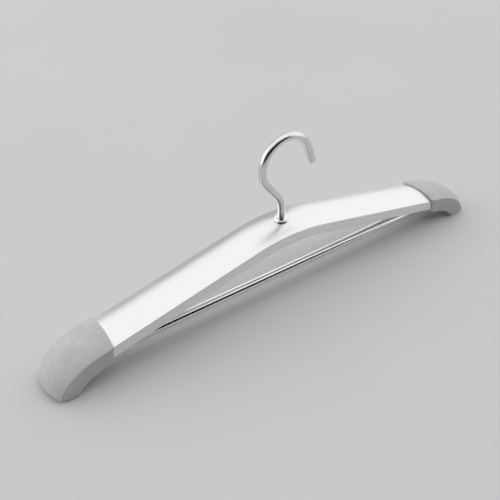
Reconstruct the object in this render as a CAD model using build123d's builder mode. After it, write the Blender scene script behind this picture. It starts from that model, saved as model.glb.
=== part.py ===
from build123d import *
import os
from math import cos, radians, sin, sqrt, tan

# A trouser hanger: a bent, crowned aluminium rail whose ends sit in two moulded
# end caps, a tube between the feet of the caps that trousers fold over, and a
# wire hook that turns in a bush at the middle of the rail.
# Millimetres. X runs along the hanger, Y from front to back, Z up. The origin is
# on the surface that the feet stand on, midway between them.

# The rail, an inverted channel with a crowned top
rail_width = 37.6
rail_wall = 2.0
rail_side_height = 9.6
rail_crown_rise = 3.9
rail_corner_radius = 0.7
rail_lip_radius = 0.4
rail_arm_slope = 12.6
rail_bend_radius = 158.0
rail_seam_reach = 170.0
rail_engagement = 13.7

# The end caps, which follow the slope of the arm and then turn down into a foot
cap_proud = 2.0
cap_floor = 2.7
cap_foot_floor = 3.1
cap_flare = 0.35
cap_foot_rise = 7.4
cap_straight = 13.5
cap_shoulder_radius = 62.0
cap_shoulder_slope = 36.6
cap_toe_radius = 32.0
cap_toe_slope = 71.7
cap_edge_radius = 0.8
cap_heel_radius = 2.0
cap_end_tilt = 10.0
cap_toe_rounding = 4.0
cap_lead_in = 6.0
cap_stations = 8
cap_core_depth = 8.0
cap_core_wall = 3.2
cap_core_web = 2.2
foot_trim = 0.3

# The trouser bar, a tube held in a blind socket in each foot
bar_diameter = 9.0
bar_wall = 1.0
bar_height = 10.5
bar_end_cover = 12.0

# The hook, bent from one wire, with a reduced and threaded spigot below
hook_wire_diameter = 7.0
hook_stem_length = 10.7
hook_jog_radius = 25.0
hook_jog_angle = 37.8
hook_jog_length = 15.1
hook_back_radius = 24.8
hook_back_angle = 106.4
hook_front_radius = 22.2
hook_front_angle = 91.7
hook_tip_length = 16.9
hook_tip_rounding = 1.2
spigot_diameter = 6.0
spigot_chamfer = 0.6
spigot_protrusion = 1.2

# The swivel: a collar above the rail, a bush in it, a washer and a nut below
collar_diameter = 12.6
collar_height = 2.4
collar_rounding = 1.2
collar_foot_chamfer = 0.3
bush_wall = 1.75
bush_flange_diameter = 16.0
bush_flange_thickness = 1.2
bush_proud = 0.15
washer_diameter = 12.5
washer_thickness = 1.2
nut_across_flats = 10.0
nut_height = 5.0
nut_face_diameter = 9.5
nut_chamfer_angle = 30.0

# Clearances, and the length by which cuts run past what they cut
pocket_clearance = 0.08
pocket_end_gap = 0.3
socket_clearance = 0.05
socket_end_gap = 0.1
bush_clearance = 0.03
seat_clearance = 0.4
spigot_clearance = 0.05
swivel_play = 0.05
overrun = 5.0

# The crown is one arc across the rail, and what lies under it is concentric
rail_half_width = rail_width / 2
crown_radius = (rail_half_width**2 + rail_crown_rise**2) / (2 * rail_crown_rise)
crown_centre_drop = crown_radius - rail_crown_rise

# Slopes of the arm and of the cap's edge line, as sines and cosines
arm_sin = sin(radians(rail_arm_slope))
arm_cos = cos(radians(rail_arm_slope))
shoulder_sin = sin(radians(cap_shoulder_slope))
shoulder_cos = cos(radians(cap_shoulder_slope))
toe_sin = sin(radians(cap_toe_slope))
toe_cos = cos(radians(cap_toe_slope))

# The cap's edge line from the seam to the toe: how far it reaches and drops
cap_reach = (
    cap_straight * arm_cos
    + cap_shoulder_radius * (shoulder_sin - arm_sin)
    + cap_toe_radius * (toe_sin - shoulder_sin)
)
cap_drop = (
    cap_straight * arm_sin
    + cap_shoulder_radius * (arm_cos - shoulder_cos)
    + cap_toe_radius * (shoulder_cos - toe_cos)
)
cap_depth = cap_proud + rail_side_height + cap_floor
cap_foot_depth = cap_proud + rail_side_height + cap_foot_floor

# Heights, from the standing surface, which the rounded toe meets in a narrow flat, up to
# the edge line of the rail
toe_lift = cap_toe_rounding * (toe_sin + toe_cos - 1)
toe_height = cap_foot_depth * toe_cos - toe_lift - foot_trim
cap_seam_height = toe_height + cap_drop
rail_seam_height = cap_seam_height - cap_proud / arm_cos
bend_reach = rail_bend_radius * arm_sin
rail_rise = (rail_seam_reach - bend_reach) * arm_sin / arm_cos
rail_edge_height = rail_seam_height + rail_rise + rail_bend_radius * (1 - arm_cos)
crown_height = rail_edge_height + rail_crown_rise

# The rail's top is faced flat for the collar, and its underside for the bush
spigot_radius = spigot_diameter / 2
bush_radius = spigot_radius + spigot_clearance + bush_wall
bush_flange_radius = bush_flange_diameter / 2
collar_radius = collar_diameter / 2
collar_seat_radius = collar_radius + seat_clearance
flange_seat_radius = bush_flange_radius + seat_clearance
collar_seat_depth = crown_radius - sqrt(crown_radius**2 - collar_seat_radius**2)
collar_seat_height = crown_height - collar_seat_depth
flange_seat_height = crown_height - rail_wall
bush_top = collar_seat_height + bush_proud
bush_bottom = flange_seat_height - bush_flange_thickness
hook_shoulder_height = bush_top + swivel_play
washer_top = bush_bottom - swivel_play
nut_top = washer_top - washer_thickness
nut_bottom = nut_top - nut_height
bar_end_reach = rail_seam_reach + cap_reach - bar_end_cover

# The cone on each face of the nut runs past its corners by as much as it takes off them
nut_face_radius = nut_face_diameter / 2
nut_corner_radius = nut_across_flats / sqrt(3)
nut_cone_radius = 2 * nut_corner_radius - nut_face_radius
nut_cone_drop = (nut_cone_radius - nut_face_radius) * tan(radians(nut_chamfer_angle))


def crown_edge(radius, half_width):
    """Height of a concentric crown arc above the edge line at a half width."""
    return sqrt(radius**2 - half_width**2) - crown_centre_drop


def rail_section(plane, clearance):
    """The channel profile of the rail on a plane, grown by a clearance all round."""
    outer_half = rail_half_width + clearance
    inner_half = rail_half_width - rail_wall - clearance
    outer_radius = crown_radius + clearance
    inner_radius = crown_radius - rail_wall - clearance
    outer_edge = crown_edge(outer_radius, outer_half)
    inner_edge = crown_edge(inner_radius, inner_half)
    outer_top = outer_radius - crown_centre_drop
    inner_top = inner_radius - crown_centre_drop
    bottom = -rail_side_height - clearance
    with BuildSketch(plane) as section:
        with BuildLine():
            Line((outer_half, bottom), (outer_half, outer_edge))
            ThreePointArc((outer_half, outer_edge), (0, outer_top), (-outer_half, outer_edge))
            Polyline((-outer_half, outer_edge), (-outer_half, bottom), (-inner_half, bottom))
            Line((-inner_half, bottom), (-inner_half, inner_edge))
            ThreePointArc((-inner_half, inner_edge), (0, inner_top), (inner_half, inner_edge))
            Polyline((inner_half, inner_edge), (inner_half, bottom), (outer_half, bottom))
        make_face()
        fillet(section.vertices().group_by(Axis.Y)[-1], rail_corner_radius)
        fillet(section.vertices().group_by(Axis.Y)[0], rail_lip_radius)
    return section.sketch


def cap_section(plane, length_share):
    """The outer profile of a cap on a plane across it, a share of the way to the toe."""
    half_width = rail_half_width + cap_proud + cap_flare * length_share
    rise = rail_crown_rise + (cap_foot_rise - rail_crown_rise) * length_share**2
    depth = cap_depth + (cap_foot_depth - cap_depth) * length_share
    with BuildSketch(plane) as section:
        with BuildLine():
            Polyline((half_width, 0), (half_width, -depth), (-half_width, -depth), (-half_width, 0))
            ThreePointArc((-half_width, 0), (0, rise), (half_width, 0))
        make_face()
    return section.sketch


def cap_edge_line():
    """The edge line that a cap follows, from a little before the seam to the toe."""
    seam = Vector(rail_seam_reach, 0, cap_seam_height)
    arm = Vector(arm_cos, 0, -arm_sin)
    with BuildLine(Plane.XZ) as edge_line:
        straight = Line(seam - arm * cap_lead_in, seam + arm * cap_straight)
        shoulder = JernArc(
            start=straight @ 1,
            tangent=straight % 1,
            radius=cap_shoulder_radius,
            arc_size=rail_arm_slope - cap_shoulder_slope,
        )
        JernArc(
            start=shoulder @ 1,
            tangent=shoulder % 1,
            radius=cap_toe_radius,
            arc_size=cap_shoulder_slope - cap_toe_slope,
        )
    return edge_line.wire()


def crosswise_edges(piece):
    """The edges of a piece that run across the hanger over at least the rail's width."""
    return piece.edges().filter_by(lambda edge: edge.bounding_box().size.Y > rail_width)


def cross_plane(line, place):
    """The plane square to a line at a place along it, with its X axis towards the back."""
    return Plane(origin=line @ place, x_dir=(0, 1, 0), z_dir=line % place)


# The rail: the channel swept along one arm, the bend and the other arm
rail_end_reach = rail_seam_reach + rail_engagement * arm_cos
rail_end_height = rail_seam_height - rail_engagement * arm_sin
bend_edge_height = rail_seam_height + rail_rise
with BuildPart() as shoulder_rail:
    with BuildLine(Plane.XZ) as rail_line:
        Line((-rail_end_reach, rail_end_height), (-bend_reach, bend_edge_height))
        ThreePointArc(
            (-bend_reach, bend_edge_height),
            (0, rail_edge_height),
            (bend_reach, bend_edge_height),
        )
        Line((bend_reach, bend_edge_height), (rail_end_reach, rail_end_height))
    rail_path = rail_line.wire()
    sweep(sections=rail_section(cross_plane(rail_path, 0), 0), path=rail_path)
    with BuildSketch(Plane.XY.offset(collar_seat_height)):
        Circle(collar_seat_radius)
    extrude(amount=overrun, mode=Mode.SUBTRACT)
    with BuildSketch(Plane.XY.offset(flange_seat_height)):
        Circle(flange_seat_radius)
    extrude(amount=-overrun, mode=Mode.SUBTRACT)
    with BuildSketch(Plane.XY.offset(bush_bottom)):
        Circle(bush_radius + bush_clearance)
    extrude(amount=crown_height - bush_bottom + overrun, mode=Mode.SUBTRACT)

# The right cap: a curved block lofted along its edge line and cut off at the seam, where
# its end leans outwards as it goes down, with a groove for the rail, a socket for the bar
# and two cores under the foot
cap_path = cap_edge_line()
lead_in_share = cap_lead_in / cap_path.length
pocket_plane = Plane(
    origin=(rail_seam_reach, 0, rail_seam_height),
    x_dir=(0, 1, 0),
    z_dir=(arm_cos, 0, -arm_sin),
)
seam_plane = Plane(
    origin=(rail_seam_reach, 0, cap_seam_height),
    x_dir=(0, 1, 0),
    z_dir=(cos(radians(cap_end_tilt)), 0, sin(radians(cap_end_tilt))),
)
core_length = cap_foot_depth - 2 * cap_core_wall
core_inner = bar_diameter / 2 + socket_clearance + cap_core_web
core_outer = rail_half_width + cap_proud - cap_core_wall
with BuildPart() as end_cap_right:
    sections = [cap_section(cross_plane(cap_path, 0), 0)]
    for station in range(cap_stations):
        length_share = station / (cap_stations - 1)
        place = lead_in_share + (1 - lead_in_share) * length_share
        sections.append(cap_section(cross_plane(cap_path, place), length_share))
    loft(sections=[section.face() for section in sections])
    split(bisect_by=seam_plane, keep=Keep.TOP)
    seam_edges = crosswise_edges(end_cap_right).sort_by(Axis.X)[:2]
    fillet(seam_edges.sort_by(Axis.Z)[0], cap_heel_radius)
    fillet(crosswise_edges(end_cap_right).sort_by(Axis.Z)[0], cap_toe_rounding)
    fillet(end_cap_right.edges(), cap_edge_radius)
    pocket = rail_section(pocket_plane.offset(-overrun), pocket_clearance)
    extrude(to_extrude=pocket, amount=overrun + rail_engagement + pocket_end_gap, mode=Mode.SUBTRACT)
    with BuildSketch(Plane.YZ.offset(rail_seam_reach)):
        with Locations((0, bar_height)):
            Circle(bar_diameter / 2 + socket_clearance)
    extrude(amount=bar_end_reach + socket_end_gap - rail_seam_reach, mode=Mode.SUBTRACT)
    with BuildSketch(cross_plane(cap_path, 1)):
        with Locations(
            ((core_inner + core_outer) / 2, -cap_foot_depth / 2),
            (-(core_inner + core_outer) / 2, -cap_foot_depth / 2),
        ):
            RectangleRounded(core_outer - core_inner, core_length, cap_edge_radius)
    extrude(amount=-cap_core_depth, mode=Mode.SUBTRACT)
    split(bisect_by=Plane.XY, keep=Keep.TOP)

# The left cap is its mirror image
with BuildPart() as end_cap_left:
    add(mirror(end_cap_right.part, about=Plane.YZ))

# The trouser bar
with BuildPart() as trouser_bar:
    with BuildSketch(Plane.YZ.offset(-bar_end_reach)):
        with Locations((0, bar_height)):
            Circle(bar_diameter / 2)
            Circle(bar_diameter / 2 - bar_wall, mode=Mode.SUBTRACT)
    extrude(amount=2 * bar_end_reach)

# The hook: stem, jog to the left, back and front of the loop, and the flared tip
with BuildPart() as hook:
    with BuildLine(Plane.XZ) as hook_line:
        stem = Line(
            (0, hook_shoulder_height),
            (0, hook_shoulder_height + hook_stem_length),
        )
        jog_bend = JernArc(stem @ 1, stem % 1, hook_jog_radius, hook_jog_angle)
        jog = Line(jog_bend @ 1, jog_bend @ 1 + (jog_bend % 1) * hook_jog_length)
        back = JernArc(jog @ 1, jog % 1, hook_back_radius, -hook_back_angle)
        front = JernArc(back @ 1, back % 1, hook_front_radius, -hook_front_angle)
        Line(front @ 1, front @ 1 + (front % 1) * hook_tip_length)
    hook_path = hook_line.wire()
    with BuildSketch(Plane.XY.offset(hook_shoulder_height)) as wire_section:
        Circle(hook_wire_diameter / 2)
    sweep(path=hook_path)
    tip_centre = hook_path @ 1
    tip_edge = hook.edges().filter_by(GeomType.CIRCLE).sort_by_distance(tip_centre)[0]
    fillet(tip_edge, hook_tip_rounding)
    with BuildSketch(Plane.XY.offset(nut_bottom - spigot_protrusion)):
        Circle(spigot_radius)
    extrude(amount=hook_shoulder_height - nut_bottom + spigot_protrusion)
    chamfer(hook.edges().group_by(Axis.Z)[0], spigot_chamfer)

# The collar, pressed on the stem, with a rounded rim
with BuildPart() as hook_collar:
    with BuildSketch(Plane.XY.offset(hook_shoulder_height)):
        Circle(collar_radius)
        Circle(hook_wire_diameter / 2, mode=Mode.SUBTRACT)
    extrude(amount=collar_height)
    rims = hook_collar.edges().filter_by(GeomType.CIRCLE).group_by(SortBy.RADIUS)[-1]
    fillet(rims.sort_by(Axis.Z)[-1], collar_rounding)
    chamfer(
        hook_collar.edges().filter_by(GeomType.CIRCLE).group_by(Axis.Z)[0].sort_by(SortBy.RADIUS)[-1],
        collar_foot_chamfer,
    )

# The bush that the spigot turns in, with its flange under the rail's top
with BuildPart() as swivel_bush:
    with BuildSketch(Plane.XY.offset(bush_bottom)):
        Circle(bush_flange_radius)
    extrude(amount=bush_flange_thickness)
    with BuildSketch(Plane.XY.offset(bush_bottom)):
        Circle(bush_radius)
    extrude(amount=bush_top - bush_bottom)
    with BuildSketch(Plane.XY.offset(bush_bottom - overrun)):
        Circle(spigot_radius + spigot_clearance)
    extrude(amount=bush_top - bush_bottom + 2 * overrun, mode=Mode.SUBTRACT)

# The washer under the bush
with BuildPart() as stem_washer:
    with BuildSketch(Plane.XY.offset(nut_top)):
        Circle(washer_diameter / 2)
        Circle(spigot_radius + spigot_clearance, mode=Mode.SUBTRACT)
    extrude(amount=washer_thickness)

# The nut that holds the hook up, a hexagon whose corners are turned off to a cone
with BuildPart() as stem_nut:
    with BuildSketch(Plane.XY.offset(nut_bottom)):
        RegularPolygon(nut_across_flats / 2, 6, major_radius=False)
    extrude(amount=nut_height)
    with BuildSketch(Plane.XZ):
        with BuildLine():
            Polyline(
                (0, nut_bottom),
                (nut_face_radius, nut_bottom),
                (nut_cone_radius, nut_bottom + nut_cone_drop),
                (nut_cone_radius, nut_top - nut_cone_drop),
                (nut_face_radius, nut_top),
                (0, nut_top),
                close=True,
            )
        make_face()
    revolve(axis=Axis.Z, mode=Mode.INTERSECT)
    with BuildSketch(Plane.XY.offset(nut_bottom)):
        Circle(spigot_radius)
    extrude(amount=nut_height, mode=Mode.SUBTRACT)

pieces = {
    "shoulder_rail": shoulder_rail,
    "end_cap_left": end_cap_left,
    "end_cap_right": end_cap_right,
    "trouser_bar": trouser_bar,
    "swivel_bush": swivel_bush,
    "hook": hook,
    "hook_collar": hook_collar,
    "stem_washer": stem_washer,
    "stem_nut": stem_nut,
}

os.makedirs("parts", exist_ok=True)
for name, piece in pieces.items():
    piece.part.label = name
    export_step(piece.part, f"parts/{name}.step")
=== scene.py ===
"""A trouser hanger: finishes for its pieces, a pale floor, soft studio light and the camera."""

import logging
from abc import ABC, abstractmethod
from dataclasses import dataclass, field
from enum import Enum
from math import cos, radians, sin, tan

import bmesh
import bpy
from mathutils import Euler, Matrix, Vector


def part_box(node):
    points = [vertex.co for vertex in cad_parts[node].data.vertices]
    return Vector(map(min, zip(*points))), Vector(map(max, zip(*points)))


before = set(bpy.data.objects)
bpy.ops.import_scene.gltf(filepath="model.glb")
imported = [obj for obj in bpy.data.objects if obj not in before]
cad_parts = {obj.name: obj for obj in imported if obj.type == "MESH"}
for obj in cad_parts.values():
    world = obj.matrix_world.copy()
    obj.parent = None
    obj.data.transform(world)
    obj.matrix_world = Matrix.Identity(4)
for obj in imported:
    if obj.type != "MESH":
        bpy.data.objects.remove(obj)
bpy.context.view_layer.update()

MM = 0.001

# Nearly all of a noise lies between these.
NOISE_LOW = 0.3
NOISE_HIGH = 0.7

# The Mix node's colour sockets, whose names repeat on it.
MIX_FIRST = 6
MIX_SECOND = 7
MIX_RESULT = 2

# Degrees about X that stand a flat card up.
UPRIGHT = 90.0

Colour = tuple[float, float, float]
Value = bpy.types.NodeSocket | float

log = logging.getLogger("hanger")


def rgba(colour: Colour) -> tuple[float, float, float, float]:
    """Returns a colour with full opacity added."""
    return (*colour, 1.0)


def grey(level: float) -> Colour:
    """Returns a neutral colour of that level."""
    return (level, level, level)


class Graph:
    """The node graph of one material, with short calls for the nodes that finishes use."""

    def __init__(self, name: str) -> None:
        """Starts an empty material with its output node.

        Args:
            name: The material's name.
        """
        self.material = bpy.data.materials.new(name)
        self.material.use_nodes = True
        self.tree = self.material.node_tree
        self.tree.nodes.clear()
        self.output = self.node("ShaderNodeOutputMaterial")

    def node(self, kind: str, **settings: object) -> bpy.types.Node:
        """Adds a node.

        Args:
            kind: The node's type name.
            settings: Its properties.

        Returns:
            The node.
        """
        made = self.tree.nodes.new(kind)
        for name, value in settings.items():
            setattr(made, name, value)
        return made

    def feed(self, target: bpy.types.NodeSocket, source: Value | Colour) -> None:
        """Links a socket to an input, or sets the input's own value.

        Args:
            target: The input.
            source: A socket, or a number or colour.
        """
        if isinstance(source, bpy.types.NodeSocket):
            self.tree.links.new(source, target)
        elif isinstance(source, tuple) and target.type == "RGBA":
            target.default_value = rgba(source)
        else:
            target.default_value = source

    def place(self) -> bpy.types.NodeSocket:
        """Returns the point on the piece in the hanger's own frame, in metres."""
        return self.node("ShaderNodeTexCoord").outputs["Object"]

    def split(self, vector: bpy.types.NodeSocket) -> list[bpy.types.NodeSocket]:
        """Takes a vector apart.

        Args:
            vector: The vector.

        Returns:
            Its three parts.
        """
        parts = self.node("ShaderNodeSeparateXYZ")
        self.feed(parts.inputs[0], vector)
        return list(parts.outputs)

    def join(self, x: Value, y: Value, z: Value) -> bpy.types.NodeSocket:
        """Makes a vector.

        Args:
            x: Its first part.
            y: Its second part.
            z: Its third part.

        Returns:
            The vector.
        """
        whole = self.node("ShaderNodeCombineXYZ")
        for target, part in zip(whole.inputs, (x, y, z)):
            self.feed(target, part)
        return whole.outputs[0]

    def sum(self, operation: str, *terms: Value) -> bpy.types.NodeSocket:
        """Calculates with numbers.

        Args:
            operation: The Math node's operation.
            terms: Its inputs.

        Returns:
            The result.
        """
        made = self.node("ShaderNodeMath", operation=operation)
        for target, term in zip(made.inputs, terms):
            self.feed(target, term)
        return made.outputs[0]

    def noise(
        self,
        vector: bpy.types.NodeSocket,
        scale: float,
        detail: float = 2.0,
        roughness: float = 0.5,
    ) -> bpy.types.NodeSocket:
        """Makes a fractal noise.

        Args:
            vector: Where it is read.
            scale: Its features in each unit of the vector.
            detail: The number of finer layers.
            roughness: How strong the finer layers are.

        Returns:
            The noise, from 0 to 1.
        """
        made = self.node("ShaderNodeTexNoise")
        self.feed(made.inputs["Vector"], vector)
        made.inputs["Scale"].default_value = scale
        made.inputs["Detail"].default_value = detail
        made.inputs["Roughness"].default_value = roughness
        return made.outputs["Fac"]

    def span(self, value: bpy.types.NodeSocket, low: float, high: float) -> bpy.types.NodeSocket:
        """Spreads the middle of a noise over a range.

        Args:
            value: The noise.
            low: What the noise's low end becomes.
            high: What its high end becomes.

        Returns:
            The spread value.
        """
        made = self.node("ShaderNodeMapRange")
        made.inputs["From Min"].default_value = NOISE_LOW
        made.inputs["From Max"].default_value = NOISE_HIGH
        made.inputs["To Min"].default_value = low
        made.inputs["To Max"].default_value = high
        self.feed(made.inputs["Value"], value)
        return made.outputs["Result"]

    def blend(self, share: Value, first: Colour, second: Colour) -> bpy.types.NodeSocket:
        """Mixes two colours.

        Args:
            share: The second one's share.
            first: The colour at a share of 0.
            second: The colour at a share of 1.

        Returns:
            The mixed colour.
        """
        made = self.node("ShaderNodeMix", data_type="RGBA")
        self.feed(made.inputs[0], share)
        self.feed(made.inputs[MIX_FIRST], first)
        self.feed(made.inputs[MIX_SECOND], second)
        return made.outputs[MIX_RESULT]

    def bump(
        self, height: bpy.types.NodeSocket, depth: float, below: bpy.types.NodeSocket | None = None
    ) -> bpy.types.NodeSocket:
        """Turns a height into a surface normal.

        Args:
            height: The height, from 0 to 1.
            depth: What a height of 1 is, in metres.
            below: The normal of a coarser bump under it.

        Returns:
            The normal.
        """
        made = self.node("ShaderNodeBump")
        made.inputs["Distance"].default_value = depth
        self.feed(made.inputs["Height"], height)
        if below is not None:
            self.feed(made.inputs["Normal"], below)
        return made.outputs["Normal"]

    def surface(self, **inputs: Value | Colour) -> bpy.types.Material:
        """Ends the graph in one surface shader.

        Args:
            inputs: The shader's inputs, with underscores for the spaces in their names.

        Returns:
            The finished material.
        """
        shader = self.node("ShaderNodeBsdfPrincipled")
        for name, value in inputs.items():
            self.feed(shader.inputs[name.replace("_", " ")], value)
        self.feed(self.output.inputs["Surface"], shader.outputs[0])
        return self.material


class Finish(ABC):
    """What one kind of surface looks like."""

    name: str

    @abstractmethod
    def material(self) -> bpy.types.Material:
        """Makes the finish's material."""


@dataclass(frozen=True)
class SatinAluminium(Finish):
    """Anodised aluminium with the fine lines that the die leaves along the profile."""

    name: str = "rail_aluminium"
    dark: Colour = (0.815, 0.817, 0.822)
    light: Colour = (0.850, 0.852, 0.855)
    smooth: float = 0.26
    rough: float = 0.36
    line_scale: float = 2600.0
    lines_in_band: float = 14.0
    cloud_scale: float = 22.0
    stretch: float = 4.0
    line_depth: float = 0.0004 * MM
    cloud_tone: float = 0.6
    cloud_rough: float = 0.5
    edge_height: float = 64.633 * MM
    bend_radius: float = 158.0 * MM
    arm_slope: float = radians(12.6)

    def profile_place(self, graph: Graph) -> bpy.types.NodeSocket:
        """Finds the place on the profile, which stays the same along each of the die's lines.

        Args:
            graph: The material's graph.

        Returns:
            A vector of the way along, across and down from the rail's edge line.
        """
        along, across, height = graph.split(graph.place())
        away = graph.sum("ABSOLUTE", along)
        squared = graph.sum("MULTIPLY", away, away)
        chord = graph.sum("SUBTRACT", self.bend_radius**2, squared)
        centre = self.edge_height - self.bend_radius
        bend = graph.sum("ADD", graph.sum("SQRT", graph.sum("MAXIMUM", chord, 0.0)), centre)
        reach = self.bend_radius * sin(self.arm_slope)
        arm_top = centre + self.bend_radius * cos(self.arm_slope) + reach * tan(self.arm_slope)
        arm = graph.sum("MULTIPLY_ADD", away, -tan(self.arm_slope), arm_top)
        past = graph.sum("GREATER_THAN", away, reach)
        edge = graph.sum("MULTIPLY_ADD", past, graph.sum("SUBTRACT", arm, bend), bend)
        return graph.join(along, across, graph.sum("SUBTRACT", height, edge))

    def material(self) -> bpy.types.Material:
        """Makes the finish's material.

        Returns:
            The material.
        """
        graph = Graph(self.name)
        along, across, down = graph.split(self.profile_place(graph))
        stretched = graph.join(graph.sum("MULTIPLY", along, self.stretch / self.line_scale), across, down)
        lines = graph.noise(stretched, self.line_scale, detail=2.0)
        bands = graph.noise(stretched, self.line_scale / self.lines_in_band, detail=2.0)
        cloud = graph.noise(graph.place(), self.cloud_scale, detail=3.0)
        cloud_tone = graph.span(cloud, 0.0, self.cloud_tone)
        tone = graph.sum("MULTIPLY_ADD", graph.span(bands, 0.0, 1.0), 1.0 - self.cloud_tone, cloud_tone)
        cloud_rough = graph.span(cloud, 0.0, self.cloud_rough)
        rough = graph.sum("MULTIPLY_ADD", graph.span(lines, 0.0, 1.0), 1.0 - self.cloud_rough, cloud_rough)
        return graph.surface(
            Base_Color=graph.blend(tone, self.dark, self.light),
            Metallic=1.0,
            Roughness=graph.sum("MULTIPLY_ADD", rough, self.rough - self.smooth, self.smooth),
            Normal=graph.bump(lines, self.line_depth),
        )


@dataclass(frozen=True)
class GrainedPlastic(Finish):
    """Moulded plastic with the fine matt grain of an eroded mould."""

    name: str = "cap_plastic"
    dark: Colour = (0.435, 0.435, 0.440)
    light: Colour = (0.595, 0.595, 0.600)
    smooth: float = 0.55
    rough: float = 0.72
    grain: float = 1500.0
    fleck: float = 937.5
    swell: float = 500.0
    mottle: float = 330.0
    cloud: float = 55.0
    grain_depth: float = 0.05 * MM
    grain_roughness: float = 0.6
    fleck_tone: float = 0.42
    mottle_tone: float = 0.28
    cloud_tone: float = 0.30
    gloss: float = 0.6

    def material(self) -> bpy.types.Material:
        """Makes the finish's material.

        Returns:
            The material.
        """
        graph = Graph(self.name)
        place = graph.place()
        pits = graph.noise(place, self.grain, detail=2.0, roughness=self.grain_roughness)
        swell = graph.noise(place, self.swell, detail=1.0)
        fleck = graph.span(graph.noise(place, self.fleck, detail=1.0), 0.0, self.fleck_tone)
        mottle = graph.span(graph.noise(place, self.mottle, detail=2.0), 0.0, self.mottle_tone)
        cloud = graph.span(graph.noise(place, self.cloud, detail=3.0), 0.0, self.cloud_tone)
        tone = graph.sum("ADD", graph.sum("ADD", fleck, mottle), cloud)
        coarse = graph.bump(swell, self.grain_depth)
        return graph.surface(
            Base_Color=graph.blend(tone, self.dark, self.light),
            Roughness=graph.span(pits, self.rough, self.smooth),
            Specular_IOR_Level=self.gloss,
            Normal=graph.bump(pits, self.grain_depth, coarse),
        )


@dataclass(frozen=True)
class PolishedChrome(Finish):
    """Bright plating on drawn steel, with the faint ripple and haze that polishing leaves."""

    name: str
    tint: Colour = (0.86, 0.862, 0.868)
    haze: Colour = (0.80, 0.803, 0.81)
    smooth: float = 0.055
    rough: float = 0.11
    wipe_scale: float = 900.0
    wipe_roughness: float = 0.65
    cloud_scale: float = 70.0
    ripple: float = 130.0
    ripple_depth: float = 0.02 * MM

    def material(self) -> bpy.types.Material:
        """Makes the finish's material.

        Returns:
            The material.
        """
        graph = Graph(self.name)
        place = graph.place()
        wipes = graph.noise(place, self.wipe_scale, detail=3.0, roughness=self.wipe_roughness)
        cloud = graph.noise(place, self.cloud_scale, detail=2.0)
        return graph.surface(
            Base_Color=graph.blend(graph.span(cloud, 0.0, 1.0), self.tint, self.haze),
            Metallic=1.0,
            Roughness=graph.span(wipes, self.smooth, self.rough),
            Normal=graph.bump(graph.noise(place, self.ripple, detail=1.0), self.ripple_depth),
        )


@dataclass(frozen=True)
class MouldedNylon(Finish):
    """Off-white nylon, slightly waxy."""

    name: str = "bush_nylon"
    dark: Colour = (0.70, 0.69, 0.655)
    light: Colour = (0.80, 0.79, 0.76)
    smooth: float = 0.42
    rough: float = 0.55
    cloud_scale: float = 260.0
    pit_scale: float = 2200.0
    pit_depth: float = 0.01 * MM
    glow: float = 0.15
    glow_reach: float = 0.6 * MM

    def material(self) -> bpy.types.Material:
        """Makes the finish's material.

        Returns:
            The material.
        """
        graph = Graph(self.name)
        place = graph.place()
        pits = graph.noise(place, self.pit_scale, detail=2.0)
        cloud = graph.noise(place, self.cloud_scale, detail=2.0)
        return graph.surface(
            Base_Color=graph.blend(graph.span(cloud, 0.0, 1.0), self.dark, self.light),
            Roughness=graph.span(pits, self.smooth, self.rough),
            Subsurface_Weight=self.glow,
            Subsurface_Scale=self.glow_reach,
            Normal=graph.bump(pits, self.pit_depth),
        )


@dataclass(frozen=True)
class ZincPlating(Finish):
    """Zinc on turned steel, cloudy and faintly blue."""

    name: str = "fixing_steel"
    dark: Colour = (0.50, 0.515, 0.54)
    light: Colour = (0.68, 0.685, 0.69)
    smooth: float = 0.26
    rough: float = 0.42
    cloud_scale: float = 420.0
    mark_scale: float = 6000.0
    mark_stretch: float = 0.1
    mark_depth: float = 0.01 * MM

    def material(self) -> bpy.types.Material:
        """Makes the finish's material.

        Returns:
            The material.
        """
        graph = Graph(self.name)
        place = graph.place()
        cloud = graph.noise(place, self.cloud_scale, detail=3.0)
        along, across, height = graph.split(place)
        along = graph.sum("MULTIPLY", along, self.mark_stretch)
        across = graph.sum("MULTIPLY", across, self.mark_stretch)
        marks = graph.noise(graph.join(along, across, height), self.mark_scale, detail=1.0)
        return graph.surface(
            Base_Color=graph.blend(graph.span(cloud, 0.0, 1.0), self.dark, self.light),
            Metallic=1.0,
            Roughness=graph.span(cloud, self.smooth, self.rough),
            Normal=graph.bump(marks, self.mark_depth),
        )


@dataclass(frozen=True)
class PaleFloor(Finish):
    """The matt floor, which isn't there for a view from below."""

    name: str = "pale_floor"
    dark: Colour = grey(0.63)
    light: Colour = grey(0.65)
    rough: float = 0.9
    gloss: float = 0.1
    cloud_scale: float = 3.0

    def material(self) -> bpy.types.Material:
        """Makes the finish's material.

        Returns:
            The material.
        """
        graph = Graph(self.name)
        shade = graph.span(graph.noise(graph.place(), self.cloud_scale, detail=2.0), 0.0, 1.0)
        colour = graph.blend(shade, self.dark, self.light)
        graph.surface(Base_Color=colour, Roughness=self.rough, Specular_IOR_Level=self.gloss)
        top = graph.output.inputs["Surface"].links[0].from_socket
        sides = graph.node("ShaderNodeMixShader")
        graph.feed(sides.inputs[0], graph.node("ShaderNodeNewGeometry").outputs["Backfacing"])
        graph.feed(sides.inputs[1], top)
        graph.feed(sides.inputs[2], graph.node("ShaderNodeBsdfTransparent").outputs[0])
        graph.feed(graph.output.inputs["Surface"], sides.outputs[0])
        return graph.material


@dataclass(frozen=True)
class CardFace(Finish):
    """The face of a studio card, which gives light or takes it away."""

    name: str
    radiance: float

    def material(self) -> bpy.types.Material:
        """Makes the finish's material.

        Returns:
            The material.
        """
        graph = Graph(self.name)
        light = graph.node("ShaderNodeEmission")
        light.inputs["Strength"].default_value = self.radiance
        graph.feed(graph.output.inputs["Surface"], light.outputs[0])
        return graph.material


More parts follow.
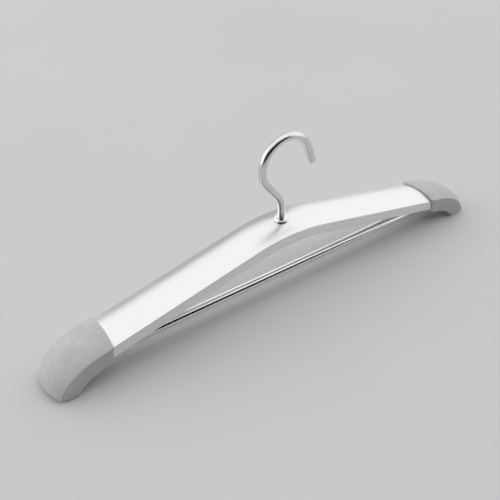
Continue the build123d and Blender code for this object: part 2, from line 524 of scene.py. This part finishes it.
class Body(Enum):
    """The bodies that the pieces ride on."""

    HANGER = "hanger"
    SWIVEL_HOOK = "swivel_hook"


class Assembly(ABC):
    """A sub-assembly of the hanger."""

    body: Body

    @abstractmethod
    def dress(self) -> None:
        """Gives each piece its finish."""

    def wear(self, node: str, finish: Finish) -> None:
        """Puts a finish on a piece of the frame.

        Args:
            node: The piece's name.
            finish: The finish.
        """
        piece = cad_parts[node]
        finished = f"{finish.name}_finish"
        material = bpy.data.materials.get(finished) or finish.material()
        material.name = finished
        for holder in piece.material_slots:
            holder.material = material
        low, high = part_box(node)
        size = ", ".join(f"{extent / MM:.1f}" for extent in high - low)
        log.info("%s on %s: %s, %s mm", node, self.body.value, finish.name, size)


@dataclass
class ShoulderRail(Assembly):
    """The bent rail with its crowned top."""

    body: Body = Body.HANGER
    finish: SatinAluminium = field(default_factory=SatinAluminium)

    def dress(self) -> None:
        """Gives the rail its finish."""
        self.wear("shoulder_rail", self.finish)


@dataclass
class EndCaps(Assembly):
    """The two moulded caps."""

    body: Body = Body.HANGER
    finish: GrainedPlastic = field(default_factory=GrainedPlastic)

    def dress(self) -> None:
        """Gives both caps their finish."""
        for side in ("left", "right"):
            self.wear(f"end_cap_{side}", self.finish)


@dataclass
class TrouserBar(Assembly):
    """The tube between the feet of the caps."""

    body: Body = Body.HANGER
    finish: PolishedChrome = field(
        default_factory=lambda: PolishedChrome("bar_chrome", grey(0.93), grey(0.88), smooth=0.12, rough=0.18)
    )

    def dress(self) -> None:
        """Gives the bar its finish."""
        self.wear("trouser_bar", self.finish)


@dataclass
class SwivelBush(Assembly):
    """The bush in the rail."""

    body: Body = Body.HANGER
    finish: MouldedNylon = field(default_factory=MouldedNylon)

    def dress(self) -> None:
        """Gives the bush its finish."""
        self.wear("swivel_bush", self.finish)


@dataclass
class SwivelHook(Assembly):
    """The hook with all that turns with it."""

    body: Body = Body.SWIVEL_HOOK
    wire: PolishedChrome = field(
        default_factory=lambda: PolishedChrome("hook_chrome", grey(0.78), grey(0.71), smooth=0.19, rough=0.27)
    )
    collar: PolishedChrome = field(default_factory=lambda: PolishedChrome("collar_chrome"))
    fixing: ZincPlating = field(default_factory=ZincPlating)

    def dress(self) -> None:
        """Gives the hook and its fixings their finishes."""
        self.wear("hook", self.wire)
        self.wear("hook_collar", self.collar)
        self.wear("stem_washer", self.fixing)
        self.wear("stem_nut", self.fixing)


@dataclass(frozen=True)
class Card:
    """An upright studio card that stands on the floor, faces the hanger and is hidden from the camera.

    The azimuth is 0 in front of the hanger and 90 at its right end.
    """

    name: str
    azimuth: float
    width: float
    height: float
    radiance: float
    distance: float = 3.0

    def build(self) -> None:
        """Makes the card in its place."""
        mesh = bpy.data.meshes.new(self.name)
        shape = bmesh.new()
        bmesh.ops.create_grid(shape, x_segments=1, y_segments=1, size=0.5)
        bmesh.ops.scale(shape, vec=(self.width, self.height, 1.0), verts=shape.verts)
        bmesh.ops.translate(shape, vec=(0.0, self.height / 2.0, self.distance), verts=shape.verts)
        stand = Euler((radians(UPRIGHT), 0.0, radians(self.azimuth))).to_matrix()
        bmesh.ops.rotate(shape, cent=(0.0, 0.0, 0.0), matrix=stand, verts=shape.verts)
        shape.to_mesh(mesh)
        shape.free()
        mesh.materials.append(CardFace(self.name, self.radiance).material())
        card = bpy.data.objects.new(self.name, mesh)
        card.visible_camera = False
        bpy.context.scene.collection.objects.link(card)


@dataclass
class Studio:
    """The floor, the light and the camera."""

    floor_size: float = 40.0
    floor_drop: float = 0.15 * MM
    surround: Colour = grey(1.09)
    cards: tuple[Card, ...] = (
        Card("front_screen", azimuth=-20.0, width=10.0, height=4.2, radiance=0.01),
        Card("back_screen", azimuth=164.0, width=2.4, height=1.5, radiance=0.4),
        Card("side_light", azimuth=228.0, width=3.4, height=2.2, radiance=1.8),
    )
    camera_place: tuple[float, float, float] = (-0.288259, -0.371984, 0.409884)
    camera_turn: tuple[float, float, float] = (51.4407, 0.1604, -34.7092)
    camera_lens: float = 49.292
    camera_sensor: float = 36.0
    camera_near: float = 0.01
    camera_far: float = 100.0

    def build(self) -> None:
        """Sets up the whole studio."""
        self.lay_floor()
        self.light()
        self.aim_camera()

    def lay_floor(self) -> None:
        """Lays the floor just under the feet."""
        mesh = bpy.data.meshes.new("floor")
        shape = bmesh.new()
        bmesh.ops.create_grid(shape, x_segments=1, y_segments=1, size=self.floor_size / 2.0)
        bmesh.ops.translate(shape, vec=(0.0, 0.0, -self.floor_drop), verts=shape.verts)
        shape.to_mesh(mesh)
        shape.free()
        mesh.materials.append(PaleFloor().material())
        floor = bpy.data.objects.new("floor", mesh)
        bpy.context.scene.collection.objects.link(floor)

    def light(self) -> None:
        """Lights the hanger by the surround and the cards."""
        world = bpy.data.worlds.new("surround")
        world.use_nodes = True
        world.node_tree.nodes["Background"].inputs["Color"].default_value = rgba(self.surround)
        bpy.context.scene.world = world
        for card in self.cards:
            card.build()

    def aim_camera(self) -> None:
        """Puts the camera where the photograph was taken from."""
        lens = bpy.data.cameras.new("camera")
        lens.lens = self.camera_lens
        lens.sensor_width = self.camera_sensor
        lens.clip_start = self.camera_near
        lens.clip_end = self.camera_far
        camera = bpy.data.objects.new("camera", lens)
        camera.location = self.camera_place
        camera.rotation_euler = Euler([radians(turn) for turn in self.camera_turn])
        bpy.context.scene.collection.objects.link(camera)
        bpy.context.scene.camera = camera
        bpy.context.scene.view_settings.view_transform = "Standard"


def main() -> None:
    """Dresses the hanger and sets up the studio."""
    logging.basicConfig(level=logging.INFO, format="%(name)s: %(message)s")
    for assembly in (ShoulderRail(), EndCaps(), TrouserBar(), SwivelBush(), SwivelHook()):
        assembly.dress()
    Studio().build()


if __name__ == "__main__":
    main()
